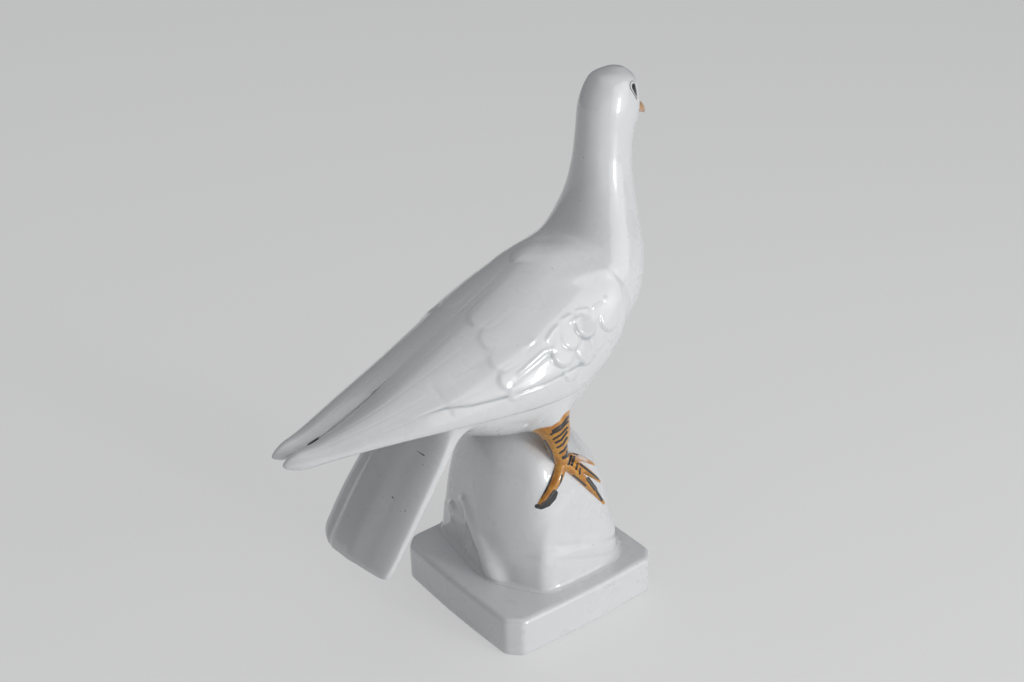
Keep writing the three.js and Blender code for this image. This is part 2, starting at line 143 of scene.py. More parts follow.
# %% A closed skin over rings, and the mesh object it becomes
def skin(rings):
    """Faces between neighbouring points of neighbouring rings, and a fan to a point at each end."""
    count, sides = rings.shape[:2]
    here = np.arange(sides)
    there = (here + 1) % sides
    low = 1 + np.arange(count - 1)[:, None] * sides
    quads = np.stack([low + here, low + there, low + sides + there, low + sides + here], -1)
    top = 1 + (count - 1) * sides
    first = np.stack([np.zeros_like(here), 1 + there, 1 + here], -1)
    last = np.stack([top + here, top + there, np.full(sides, top + sides)], -1)
    points = np.vstack([rings[0].mean(0), rings.reshape(-1, 3), rings[-1].mean(0)])
    return points, quads.reshape(-1, 4).tolist() + first.tolist() + last.tolist()


def volume(points, faces):
    """Sum of the volumes between the origin and each face, by its first three corners."""
    fan = np.array([face[:3] for face in faces] + [[f[0], f[2], f[3]] for f in faces if len(f) > 3])
    a, b, c = points[fan[:, 0]], points[fan[:, 1]], points[fan[:, 2]]
    return np.einsum("ij,ij->i", a, np.cross(b, c)).sum() / 6


def cast(name, points, faces):
    """A smooth mesh object of points in millimetres in the frame, with its faces turned outwards."""
    if volume(points, faces) < 0:
        faces = [face[::-1] for face in faces]
    mesh = bpy.data.meshes.new(name)
    mesh.from_pydata(points * MM, [], faces)
    mesh.shade_smooth()
    piece = bpy.data.objects.new(name, mesh)
    bpy.context.scene.collection.objects.link(piece)
    print(name, len(mesh.vertices), "points,", round(abs(volume(points, faces)) / 1000, 1), "cm3")
    return piece


# %% Reading and moving a piece's points, and values that go along with them
def vectors(collection, name):
    """A property of all points of a mesh as one array of three numbers for each."""
    values = np.empty(len(collection) * 3, np.float32)
    collection.foreach_get(name, values)
    return values.reshape(-1, 3).astype(float)


def points_of(piece):
    """The places of a piece's points in millimetres."""
    return vectors(piece.data.vertices, "co") / MM


def move_to(piece, points):
    """Moves a piece's points to places in millimetres."""
    piece.data.vertices.foreach_set("co", (points * MM).astype(np.float32).ravel())
    piece.data.update()


def keep(piece, name, values):
    """Stores a value at each point of a piece under a name."""
    attribute = piece.data.attributes.new(name, "FLOAT", "POINT")
    attribute.data.foreach_set("value", values.astype(np.float32).ravel())


# %% [markdown]
# ## Body
#
# The body runs from the rump over the breast and up the neck to the crown. A section across it
# is an ellipse, so each station only needs a point on the back line, the point across from it on
# the belly line, and half the width between them.

# %% The body's stations, and its surface
BODY = [
    (-70, 56, -70, 32, 26.5), (-50, 73, -50, 17.5, 33), (-20, 94, -14, 5.5, 36.5),
    (4, 106.5, 19.7, 8, 34.5), (17, 110, 44.3, 34.5, 34), (25, 113, 65.3, 63.5, 34.5),
    (30.3, 121, 73.5, 91.5, 29), (34.8, 133.7, 72.8, 115.2, 21.5), (37.5, 149, 71.3, 136.6, 16.5),
    (39, 164, 71.1, 155.5, 14.8), (40.8, 180, 75.7, 172.7, 14.7), (47.5, 191.6, 73.9, 187.5, 12.1),
    (56.5, 195.3, 68.2, 194.1, 5.6),
]
RUMP = (-78, 42, -78, 42, 0)
CROWN = (62.5, 195.8, 62.5, 195.8, 0)


def over_the_pole(row):
    """The row past an end: back and belly change places and the width turns negative."""
    return (row[2], row[3], row[0], row[1], -row[4])


body_table = [over_the_pole(BODY[0]), RUMP, *BODY, CROWN, over_the_pole(BODY[-1])]


def body_rings(count, sides):
    """Ellipses whose one axis joins the back line and the belly line and whose other lies along Y."""
    back_x, back_z, belly_x, belly_z, wide = run_through(body_table)(toward_ends(count)).T[..., None]
    angle = once_round(sides)
    share = (1 + np.sin(angle)) / 2
    x = belly_x + (back_x - belly_x) * share
    z = belly_z + (back_z - belly_z) * share
    y = np.cos(angle) * wide
    return np.stack([x + MIDDLE_X, y, z + PERCH_Z], -1)


BODY_RINGS, BODY_SIDES = 400, 230
body = cast("dove_body", *skin(body_rings(BODY_RINGS, BODY_SIDES)))

# %% [markdown]
# ## Wings with feathers in relief
#
# A folded wing is a lens between an upper and a lower edge. The modeller pressed feathers into
# it: small round ones at the shoulder, long ones behind them that end in one step, and a scored
# line along the border. Each feather is a low dome on the wing. Where feathers overlap the
# highest one shows, and a blur as wide as the glaze is thick rounds what lies under it.

# %% The wing's stations
# Each has its distance forward, its upper edge sideways and up, its lower edge sideways and up,
# and how far the outer and the inner face swell.
WING = [
    (43, 35, 84.5, 31.5, 62, 4.5, 5), (32, 28.5, 99, 33.5, 51, 8.5, 8),
    (18, 12.5, 107.4, 37, 44, 13.5, 9), (0, 0.3, 107.2, 41.5, 40, 17.5, 10),
    (-22, 0, 97.4, 42.5, 40, 16.5, 10), (-50, 0, 82, 39.5, 41, 13, 9),
    (-80, 0, 65.5, 33.2, 41.5, 9.5, 6), (-108, 1.3, 51.3, 25, 40.5, 7, 4.5),
    (-133, 0.4, 41.2, 16.5, 38.5, 5, 4), (-147, 0.8, 38.6, 11.2, 36.5, 4.8, 3.5),
]
SHOULDER = (48, 34, 74, 34, 74, 0, 0)
WING_TIP = (-154, 5.5, 37.5, 5.5, 37.5, 0, 0)


def past_the_tip(row):
    """The row past an end of the wing: the edges change places and the swells turn negative."""
    return (row[0], row[3], row[4], row[1], row[2], -row[5], -row[6])


wing_table = [past_the_tip(WING[0]), SHOULDER, *WING, WING_TIP, past_the_tip(WING[-1])]


def wing_surface(along, across):
    """Point and outward direction on the left wing: the outer face has across from 0 to 1, the
    inner face from 1 to 2. The inner face is half an ellipse over the chord between the edges.
    The outer one leaves the upper edge as a flat arch, so that the back stays smooth."""
    x, top_y, top_z, low_y, low_z, outside, inside = np.moveaxis(run_through(wing_table)(along), -1, 0)
    chord = np.stack([top_y - low_y, top_z - low_z], -1)
    half = np.linalg.norm(chord, axis=-1, keepdims=True) / 2
    chord = chord / (2 * half)
    outward = np.stack([chord[..., 1], -chord[..., 0]], -1)
    turn = across * np.pi
    wave = np.sin(turn)
    arch = outside * np.abs(wave) ** np.clip(2 - across, 1, 2)
    swell = np.where(across < 1, arch, inside * wave)[..., None]
    middle = np.stack([top_y + low_y, top_z + low_z], -1) / 2
    at = middle + chord * np.cos(turn)[..., None] * half + outward * swell
    point = np.concatenate([(x + MIDDLE_X)[..., None], at[..., :1], at[..., 1:] + PERCH_Z], -1)
    return point, np.concatenate([np.zeros_like(at[..., :1]), outward], -1)


# %% The feathers
# Each has the place of its tip (forward in mm, and the share of the way across the wing), its
# length, its width, the way it points in degrees downwards from straight back, and its height.
SCALES = [
    (22.5, 0.604, 12, 13, 64, 0.8), (6, 0.606, 12, 15, 62, 1.35), (-4.5, 0.636, 12, 13, 60, 0.95),
    (14, 0.69, 13, 12, 66, 0.55), (3.5, 0.735, 13, 14, 60, 1), (-12.5, 0.692, 16, 15, 54, 1.1),
    (-8, 0.79, 10, 10, 60, 0.7), (25, 0.69, 10, 10, 64, 0.4),
]
COVERTS = [
    (-45.5, 0.27, 34, 18, 4, 0.7), (-47.5, 0.42, 34, 15, 5, 0.7), (-48, 0.545, 32, 12, 7, 0.7),
    (-47, 0.67, 30, 13, 10, 0.7), (-44, 0.765, 26, 8, 8, 0.7),
]
# Pinched lines: height and half width in mm, and the places that each runs through.
PINCHES = [
    (0.5, 1.0, [(-15, 0.6), (-20, 0.593), (-27, 0.615), (-36, 0.648)]),
    (-0.35, 1.3, [(-14, 0.622), (-20, 0.62), (-28, 0.645), (-41, 0.69)]),
    (0.35, 0.8, [(-23, 0.525), (-27, 0.532)]),
    (-0.2, 1.2, [(-22, 0.545), (-29, 0.562)]),
    (0.6, 0.7, [(-16.5, 0.552), (-12, 0.53), (-8, 0.52)]),
    (0.5, 0.7, [(-4, 0.507), (1, 0.5)]),
    (0.5, 0.7, [(6, 0.49), (13, 0.488)]),
    (0.5, 0.7, [(17, 0.482), (22, 0.452)]),
    (0.4, 0.7, [(25, 0.42), (26, 0.41)]),
    (0.5, 0.7, [(0, 0.528), (8, 0.516)]),
]
BORDER = [(8, 0.726), (-8, 0.736), (-22, 0.751), (-42, 0.758), (-63, 0.737), (-76, 0.69), (-88, 0.68)]
FLIGHT_LINES = (0.16, 0.31, 0.46, 0.6)


# %% Where a feather lies
def along_at(x):
    """The place along the wing at which its stations stand at a given distance forward."""
    places = np.linspace(0, 1, 400)
    return np.interp(-np.asarray(x, float), -run_through(wing_table)(places)[:, 0], places)


def tangents(along, across, nearby=0.004):
    """Point on the wing, unit direction towards the tail and unit direction down the wing."""
    at = wing_surface(along, across)[0]
    back = wing_surface(along + nearby, across)[0] - at
    down = wing_surface(along, across + nearby)[0] - at
    back /= np.linalg.norm(back, axis=-1, keepdims=True)
    down -= back * np.sum(down * back, axis=-1, keepdims=True)
    return at, back, down / np.linalg.norm(down, axis=-1, keepdims=True)


# %% How a feather rises
def feather_height(points, feather):
    """A plate over a round-ended outline that rises from its root to its tip, with a soft brim
    0.8 mm wide: its height is a share of the lift that grows towards the tip and drops at the
    outline, and a shallow groove runs round it."""
    x, across, length, width, turn, lift = feather
    at, back, down = tangents(along_at(x), np.asarray(across, float))
    turn = np.radians(turn)
    tipward = back * np.cos(turn) + down * np.sin(turn)
    sideways = down * np.cos(turn) - back * np.sin(turn)
    u = (points - at) @ tipward / length
    v = (points - at) @ sideways / (width / 2)
    tip_round = np.clip(1 + u * length / (width / 2), 0, None)
    away = np.sqrt(v**2 + tip_round**2)
    plate = np.clip((1 - away) * width / 2 / 0.8, 0, 1)
    rise = np.clip(1 + u, 0, 1) ** 1.5
    dome = 1 - 0.25 * v**2
    groove = bell((away - 1) * width / 2 - 0.7, 0.7) * np.clip(1 + 1.4 * u, 0, 1) / 3
    return lift * (plate**0.7 * rise * dome - groove) * (np.abs(u + 0.4) < 0.75)


def between_soft(value, low, high, edge):
    """1 between low and high, with soft slopes of a given width outside them."""
    return np.clip((value - low) / edge + 1, 0, 1) * np.clip((high - value) / edge + 1, 0, 1)


# %% All the relief of a wing
def wing_relief(points, across):
    """The highest feather at each place, the pinched lines, the border and the flight feathers."""
    relief = np.zeros(points.shape[:-1])
    for feathers in (COVERTS, SCALES):
        heights = [feather_height(points, feather) for feather in feathers]
        grooves = np.minimum(np.min(heights, axis=0), 0) * (relief < 0.3)
        relief = np.maximum(relief, np.max(heights, axis=0)) + grooves
    for rise, wide, stops in PINCHES:
        x, place = np.array(stops).T
        relief += rise * bell(away_from(points, wing_surface(along_at(x), place)[0]), wide)
    x = points[..., 0] - MIDDLE_X
    border_at = np.interp(-x, [-stop[0] for stop in BORDER], [stop[1] for stop in BORDER])
    border = bell(across - border_at, 0.009) * between_soft(x, -78, 4, 14)
    step_down = 0.35 / (1 + np.exp((across - border_at) / 0.008)) * between_soft(x, -46, 6, 8)
    flights = sum(bell(across - place + x / 900, 0.012) for place in FLIGHT_LINES)
    second_tier = bell(x + 76 - 10 * (across - 0.6), 1.2) * between_soft(across, 0.5, 0.76, 0.05)
    faint = 0.09 * flights * between_soft(x, -140, -56, 10) + 0.25 * second_tier
    return (relief + step_down - 0.75 * border - faint) * (across < 1)


# %% The line between the two wings, and the tuck into the body
SLOT_HALF = 0.7


def between_the_wings(points):
    """How far the surface sinks beside the middle plane, and how deep the open slots in it are.
    Where the wings meet as a roof or a valley, a hyperbola takes the place of the sharp line."""
    x, y = points[..., 0] - MIDDLE_X, np.abs(points[..., 1])
    slope = np.interp(x, (-133, -108, -80, -57, -22, 0, 20), (-0.6, -0.42, -0.12, 0, 0.19, 0.32, 0.3))
    round_off = np.interp(x, (-130, -100, -75, -40), (1, 1.5, 4, 7))
    slot = 5 * between_soft(x, -119, -99, 4) + 3 * between_soft(x, -135, -132, 2)
    slot = slot * bell(y, SLOT_HALF, 4)
    return slope * (np.sqrt(y**2 + round_off**2) - y) + slot, slot


def tuck(points, across):
    """How far the rim is pressed into the body: at the upper edge in front, and all of the nose."""
    x = points[..., 0] - MIDDLE_X
    from_rim = np.minimum(across, 2 - across) / 0.22
    rim = 3.2 * np.clip(1 - from_rim, 0, 1) ** 2 * smooth_step((x + 4) / 16)
    return rim + 4 * smooth_step((x - 35) / 13)


# %% Both wings, the right one as the mirror image of the left
WING_STEPS, WING_OUTER, WING_INNER = 520, 154, 34
outer_face = np.linspace(0, 1, WING_OUTER, endpoint=False)
inner_face = np.linspace(1, 2, WING_INNER, endpoint=False)
round_it = np.concatenate([outer_face, inner_face])
along, across = np.meshgrid(toward_ends(WING_STEPS), round_it, indexing="ij")
wing_points, wing_outward = wing_surface(along, across)
raised = soften(wing_relief(wing_points, across), 1)
# How far each point lies under the blurred relief: the glaze paints it grey there, partly as pooled glaze and
# partly as painted shade in the grooves.
wing_pool_and_shade = np.clip(soften(raised, 60) - raised, 0, None)
wing_points = wing_points + wing_outward * (raised - tuck(wing_points, across))[..., None]
sunk, slot_depth = between_the_wings(wing_points)
wing_points[..., 2] -= sunk
# The slot between the wings gets a high value, which the glaze paints nearly black as painted shade.
wing_pool_and_shade = np.maximum(wing_pool_and_shade, 3 * slot_depth * (across < 1))
wings = {}
for hand, side in (("left", 1), ("right", -1)):
    wings[hand] = cast("folded_wing_" + hand, *skin(wing_points * (1, side, 1)))
print("relief up to", round(float(raised.max()), 2), "mm")

# %% [markdown]
# ## Tail
#
# The tail leaves the body under the wings and hangs behind the plinth. It is a flat slab with
# round corners, arched a little, with a groove, a soft ridge and a shallow valley along it.

# %% The tail's stations and surface
# Each has its distance forward, sideways and up, half its width and half its thickness.
TAIL = [
    (-42, 0, 65, 15, 11), (-53, -1, 54, 20, 9), (-64, -1.8, 43, 25, 7), (-79.5, -1.5, 23, 29, 4.5),
    (-101, 0, -7, 31.5, 3.6), (-113.5, 0, -25.1, 31.3, 3.4), (-118, 0, -31.6, 30.3, 3),
    (-120, 0, -34.4, 27, 2), (-121, 0, -35.8, 20, 1),
]
TAIL_SLOPE = np.radians(54)
TAIL_SKEW, CORNER_ROUND = 2.2, 5
# Place as a share of the half width, half width of the wave as such a share, and depth in mm
TAIL_WAVES = [(0.66, 0.1, 0.75), (-0.08, 0.16, -0.9), (-0.45, 0.13, 0.4)]


def filled_out(wave, power):
    """A sine or cosine wave raised to a power under 1, which squares an ellipse."""
    return np.sign(wave) * np.abs(wave) ** power


def tail_rings(count, sides):
    """Superellipses across the slab, with the arch falling towards the sides and a groove, a ridge
    and a valley along both faces. The end runs askew and its left corner is rounded off."""
    t = np.linspace(0, 1, count)
    x, y, z, wide, thick = run_through(TAIL)(t).T[..., None]
    angle = once_round(sides)
    side, through = filled_out(np.cos(angle), 0.62), filled_out(np.sin(angle), 0.5)
    waves = sum(depth * bell(side - at, half) for at, half, depth in TAIL_WAVES)
    rise = through * (thick - waves * np.clip(t[:, None] * 3 - 0.6, 0, 1)) - 3 * side**2
    corner = CORNER_ROUND * np.clip(side * 2 - 1, 0, 1) ** 2.5 * t[:, None] ** 3
    askew = TAIL_SKEW * side * t[:, None] ** 2 - corner
    return np.stack([x - np.sin(TAIL_SLOPE) * rise - np.cos(TAIL_SLOPE) * askew + MIDDLE_X,
                     y + side * wide + 0 * rise,
                     z + np.cos(TAIL_SLOPE) * rise - np.sin(TAIL_SLOPE) * askew + PERCH_Z], -1)


TAIL_RINGS, TAIL_SIDES = 220, 240
tail = cast("tail_fan", *skin(tail_rings(TAIL_RINGS, TAIL_SIDES)))

# %% [markdown]
# ## Beak
#
# The beak is a small separate pinch of clay: an ellipse that shrinks along a line that bends
# down to the tip, with a shallow groove where the two halves meet.

# %% The beak's stations and surface
# Each has its distance forward and up, half its height and half its width.
BEAK = [
    (66, 171, 3.5, 3.3), (72, 171, 3.5, 3.3), (79, 170.8, 3.3, 3), (82, 169.6, 2.5, 2.2),
    (83.6, 168, 1.3, 1.2), (84.1, 167.2, 0.2, 0.2), (84.3, 166.8, 0, 0),
]


def beak_rings(count, sides):
    """Upright ellipses with a groove at both sides, just under half of the height."""
    x, z, high, wide = run_through(BEAK)(np.linspace(0, 1, count)).T[..., None]
    angle = once_round(sides)
    groove = 1 - 0.12 * bell(np.sin(angle) + 0.25, 0.12)
    return np.stack([x + 0 * angle + MIDDLE_X, np.cos(angle) * wide * groove,
                     z + np.sin(angle) * high + PERCH_Z], -1)


beak = cast("beak_pinch", *skin(beak_rings(60, 64)))

# %% [markdown]
# ## Rock
#
# Seen from the middle of its foot, every point of the rock lies in its own direction, so one
# distance for each direction draws it all. Each cut face gives a distance at which a ray meets
# its plane. Adding them as high powers keeps the nearest face and rounds the edges between them,
# as a sponge does on wet clay. A root, a knob, a crease, soft steps and hollows are added on top.

# %% The rock's cut faces: heading, tilt upwards, distance
BOULDER = [
    (0, 8, 44), (48, 8, 46.5), (40, 42, 69), (92, 4, 51), (135, 36, 74), (172, 4, 38.5), (200, 42, 75),
    (211, 6, 39.5), (270, 9, 41.5), (262, 44, 75), (318, 8, 50), (318, 42, 68.5), (0, 90, 89),
]
LEDGE = [
    (350, 6, 44), (308, 6, 46), (268, 6, 39.5), (211, 6, 37.5), (172, 6, 33), (90, 6, 47),
    (40, 6, 45), (0, 90, 18),
]
EDGE_POWER = 12
ROCK_MIDDLE = np.array([MIDDLE_X + 2, 0, PLINTH_TOP_Z])
FOOT_ROUND = 2.5


def pointing(heading, height):
    """Unit direction from a heading round the vertical and a height above the ground, in degrees."""
    heading, height = np.radians(heading), np.radians(height)
    level = np.cos(height)
    return np.stack([np.cos(heading) * level, np.sin(heading) * level, np.sin(height) + 0 * heading], -1)


def reach(faces, aim):
    """Distance to the rounded block in each direction: the p-norm of the planes' nearness."""
    heading, up, out = np.array(faces, float).T
    nearness = np.maximum(aim @ pointing(heading, up).T / out, 0)
    return (nearness**EDGE_POWER).sum(-1) ** (-1 / EDGE_POWER)


def on_rock(heading, height, lift=0.0):
    """Point on the rock's cut faces: the farther of the boulder and the ledge, softly joined."""
    aim = pointing(heading, height)
    far = (reach(BOULDER, aim) ** EDGE_POWER + reach(LEDGE, aim) ** EDGE_POWER) ** (1 / EDGE_POWER)
    return aim * (far + lift)[..., None] + ROCK_MIDDLE


# %% What is modelled on the rock, as headings and heights in degrees
ROOT = [(152, 40), (164, 35), (176, 28), (187, 19), (195, 8), (200, 1)]
VALLEY, RECESS = [(190, 34), (205, 20), (212, 4)], [(140, 6), (158, 20)]
CREASE = [(277, 55), (262, 50), (250, 45), (243, 33), (240, 18), (239, 3)]
KNOB, KNOB_HOLLOW = (137, 25), (151, 34)
# Steps cut into the right side: their heights, how much they fall forward, and their half width
STEPS_AT, STEPS_FALL, STEPS_WIDE = (51, 42), 0.33, 1.9


# %% The rock's relief
def along_rock(points, stops):
    """Distance to a smooth run over the rock through headings and heights."""
    stops = np.array([stops[0], *stops, stops[-1]], float)
    heading, height = run_through(stops)(np.linspace(0, 1, 24)).T
    return away_from(points, on_rock(heading, height))


def from_spot(points, place):
    """Distance to one place on the rock, given by its heading and height."""
    return np.linalg.norm(points - on_rock(*np.array(place, float)), axis=-1)


def rock_relief(points, height):
    """Root and knob as domes, hollows beside them, the crease as a low ridge, and two soft steps.
    It fades out at the foot."""
    root = 3 * bell(along_rock(points, ROOT), 5.8, 2.4)
    hollows = 1.3 * bell(along_rock(points, VALLEY), 7) + 2.4 * bell(along_rock(points, RECESS), 6)
    knob = 3 * bell(from_spot(points, KNOB), 6, 4) - 2.4 * bell(from_spot(points, KNOB_HOLLOW), 3.8)
    crease = 0.8 * bell(along_rock(points, CREASE), 4.5)
    x, y, z = np.moveaxis(points, -1, 0)
    forward = x - MIDDLE_X
    steps = sum(bell(z + STEPS_FALL * (forward + 16) - at, STEPS_WIDE) for at in STEPS_AT)
    steps = steps * np.clip((forward + 18) / 10, 0, 1)
    lumps = 0.5 * np.sin(x / 7 + 2) * np.sin(y / 6 + 1) * np.sin(z / 8)
    return (root - hollows + knob + crease - 0.6 * steps + lumps) * np.clip((height + 1) / 4, 0, 1)


# %% The rock's surface
def rock_rings(count, sides):
    """Rings from the foot to the top. The foot ends in a quarter round that is level where it
    meets the plinth, as slip that was wiped round with a finger."""
    heading = np.linspace(0, 360, sides, endpoint=False)[None, :]
    height = 89.6 * np.linspace(0, 1, count)[:, None] ** 1.35 + 0 * heading
    heading = heading + 0 * height
    aim = pointing(heading, height)
    points = on_rock(heading, height)
    far = np.linalg.norm(points - ROCK_MIDDLE, axis=-1)
    sponged = (soften(far, 9) - far) * np.clip(height / 8, 0, 1)
    points = points + aim * (sponged + soften(rock_relief(points, height), 2))[..., None]
    above = np.clip(points[..., 2:] - PLINTH_TOP_Z, 0, FOOT_ROUND)
    outward = aim * (1, 1, 0) / np.linalg.norm(aim[..., :2], axis=-1, keepdims=True)
    flare = FOOT_ROUND - np.sqrt(FOOT_ROUND**2 - (FOOT_ROUND - above) ** 2)
    return points + outward * flare


ROCK_RINGS, ROCK_SIDES = 220, 420
rock = cast("rock_casting", *skin(rock_rings(ROCK_RINGS, ROCK_SIDES)))

# %% [markdown]
# ## Plinth
#
# The plinth is a square block with cut corners, slightly crowned sides and a soft top edge. It is
# cast open below, so its underside shows a rim and a hollow. One profile runs from the middle of
# the hollow down its wall, round the rim, up the outside and in to the middle of the top, and
# every point of that profile draws one outline.

# %% The plinth's outline
PLINTH_HALF, CORNER_CUT, CROWN_OUT = 54.0, 7.6, 1.3
RIM, TOP_EDGE, UNDER_Z = 7.5, 3.2, 18.0
CORNER_POWER = 90


def plinth_outline(inset, sides):
    """Distance to the nearest of four crowned sides and four cuts in each direction, softly joined."""
    angle = once_round(sides)
    square = np.arange(4) * np.pi / 2
    off = (angle[:, None] - square + np.pi) % (2 * np.pi) - np.pi
    crown = CROWN_OUT * np.clip(1 - (off / 0.72) ** 2, 0, 1)
    side_gap = PLINTH_HALF + crown - inset[:, None, None]
    cut_gap = PLINTH_HALF * np.sqrt(2) - CORNER_CUT / np.sqrt(2) - inset[:, None, None]
    sides_near = np.maximum(np.cos(off), 0) / np.maximum(side_gap, 0.01)
    cuts_near = np.maximum(np.cos(angle[:, None] - square - np.pi / 4), 0) / np.maximum(cut_gap, 0.01)
    near = (sides_near**CORNER_POWER).sum(-1) + (cuts_near**CORNER_POWER).sum(-1)
    far = near ** (-1 / CORNER_POWER)
    return np.stack([np.cos(angle) * far, np.sin(angle) * far], -1)


def rounded(inset_from, z_from, inset_to, z_to, count):
    """A quarter round between two points of the profile that leaves the first one upright."""
    turn = np.linspace(0, np.pi / 2, count)
    inset = inset_from + (inset_to - inset_from) * (1 - np.cos(turn))
    return list(zip(inset, z_from + (z_to - z_from) * np.sin(turn)))


# %% The plinth's profile: how far in from the outline, and how high
profile = [(53.5, UNDER_Z), (40, UNDER_Z), (20, UNDER_Z), (10, UNDER_Z)]
profile += [(RIM, z) for z in (UNDER_Z - 0.5, 12, 6, 1.2)] + [(RIM - 1, 0), (4.5, 0)]
profile += rounded(4.5, 0, 3.0, 0, 2)[1:] + [(1.2, 0.25), (0.5, 0.7), (0.15, 1.4), (0, 2.4)]
profile += [(0, z) for z in np.linspace(4, PLINTH_TOP_Z - TOP_EDGE, 14)]
profile += rounded(0, PLINTH_TOP_Z - TOP_EDGE, TOP_EDGE, PLINTH_TOP_Z, 14)[1:]
profile += [(inset, PLINTH_TOP_Z) for inset in (4, 6, 9, 16, 26, 38, 50, 53.5)]
profile = np.array(profile)
PLINTH_SIDES = 480
outlines = plinth_outline(profile[:, 0], PLINTH_SIDES)
levels = np.broadcast_to(profile[:, 1, None, None], outlines.shape[:2] + (1,))
plinth_rings = np.concatenate([outlines + (MIDDLE_X, 0), levels], -1)
plinth = cast("plinth_block", *skin(plinth_rings))

# %% [markdown]
# ## Legs and toes
#
# The thigh leaves the belly as a cone, the shank narrows to the ankle, and four toes spread over
# the rock and end in claws. The modeller rolls each as a tube and smooths them together, so here
# the tubes are made first and then drawn over with one skin of fine cells.

# %% Tubes along the bones
# Stations of the leg as x, y, z and radius; the ankle as heading and height on the rock and its
# radius; each toe as heading, height and radius at its tip, and how far it bends upwards.
THIGH, KNEE, SHANK = (-3, 16, 28, 15), (-1.5, 25.5, 12, 9.5), (-0.5, 27.5, 1, 6)
ANKLE = (270, 68, 4.2)
TOES = [(245.5, 57.5, 3.3, 0), (300, 49, 2.7, 3), (302, 57, 2.5, 2.5), (304, 63, 2.1, 2.5)]
CLAW_REACH, CLAW_RADIUS = 0.3, 0.8
CAP = 0.4


def tube(stops, count=48, sides=28):
    """Round rings of changing radius along a smooth run, each square to the run where it stands,
    with a smaller ring past each end as a cap."""
    stops = np.array(stops)
    stops = np.vstack([2 * stops[0] - stops[1], stops, 2 * stops[-1] - stops[-2]])
    line = run_through(stops)(np.linspace(0, 1, count))
    at, radius = line[:, :3], line[:, 3]
    tangent = np.gradient(at, axis=0)
    tangent /= np.linalg.norm(tangent, axis=1, keepdims=True)
    side = np.cross(tangent, (0.1, 1, 0.2))
    side /= np.linalg.norm(side, axis=1, keepdims=True)
    other = np.cross(tangent, side)
    angle = once_round(sides)[None, :, None]
    ring = np.cos(angle) * side[:, None] + np.sin(angle) * other[:, None]
    rings = at[:, None] + ring * radius[:, None, None]
    first, last = (rings[[end]] * CAP + at[end] * (1 - CAP) + way * tangent[end] * radius[end] * CAP
                   for end, way in ((0, -1), (-1, 1)))
    return np.concatenate([first, rings, last]), at


# %% Where the bones run
def bone(spot):
    """A station of the leg in the frame, on the right side: x, y, z and radius."""
    return (spot[0] + MIDDLE_X, -spot[1], spot[2] + PERCH_Z, spot[3])


def toe_spot(toe, share, lift, radius):
    """A station on the rock, a share of the way from the ankle to the toe's tip, bent upwards."""
    heading, height = (ANKLE[k] + (toe[k] - ANKLE[k]) * share for k in (0, 1))
    height = height + toe[3] * 4 * share * (1 - share)
    return (*on_rock(np.array(heading), np.array(height), np.array(lift)), radius)


ankle = (*on_rock(*np.array(ANKLE[:2], float), np.array(ANKLE[2] / 3)), ANKLE[2])
tubes = [tube([bone(THIGH), bone(KNEE), bone(SHANK), ankle])]
for toe in TOES:
    thick = toe[2]
    tubes.append(tube([
        (*ankle[:3], thick), toe_spot(toe, 0.5, thick / 2, thick),
        toe_spot(toe, 1, thick / 4, thick * 0.65), toe_spot(toe, 1 + CLAW_REACH, 0, CLAW_RADIUS)]))
lengths = [np.linalg.norm(np.diff(line, axis=0), axis=1).sum() for _, line in tubes]
print("bones:", np.round(lengths, 1).tolist(), "mm long")


# %% One skin over the tubes
CELL, SPONGE_STROKES = 0.36, 12


def evaluated(piece):
    """The piece as its modifiers leave it."""
    return piece.evaluated_get(bpy.context.evaluated_depsgraph_get())


def one_skin(name, side):
    """The tubes become one closed surface of fine cells, which is then smoothed as a wet sponge does."""
    points, faces, start = [], [], 0
    for rings, _ in tubes:
        some, their_faces = skin(rings * (1, side, 1))
        if volume(some, their_faces) < 0:
            their_faces = [face[::-1] for face in their_faces]
        faces += [[start + corner for corner in face] for face in their_faces]
        points.append(some)
        start += len(some)
    rough = cast(name, np.vstack(points), faces)
    cells = rough.modifiers.new("cells", "REMESH")
    cells.mode, cells.voxel_size, cells.use_smooth_shade = "VOXEL", CELL * MM, True
    sponge = rough.modifiers.new("sponge", "SMOOTH")
    sponge.factor, sponge.iterations = 0.5, SPONGE_STROKES
    smooth = bpy.data.meshes.new_from_object(evaluated(rough))
    rough.modifiers.clear()
    rough.data = smooth
    smooth.shade_smooth()
    print(name, "has", len(smooth.polygons), "cells")
    return rough


legs = {"right": one_skin("leg_right_skin", 1), "left": one_skin("leg_left_skin", -1)}

# %% [markdown]
# ## Where the castings meet
#
# Clay slip fills the corner wherever two castings touch, and the glaze runs over it, so no joint
# on the figurine is sharp. A Boolean union could join the pieces, but it leaves a sharp line and
# an uneven mesh. Here the slip is a formula: a smooth minimum of the distances to both pieces.
# Every point near a joint moves onto the surface where that minimum is zero. Both pieces then
# lie on one common surface there, and no seam can be seen.


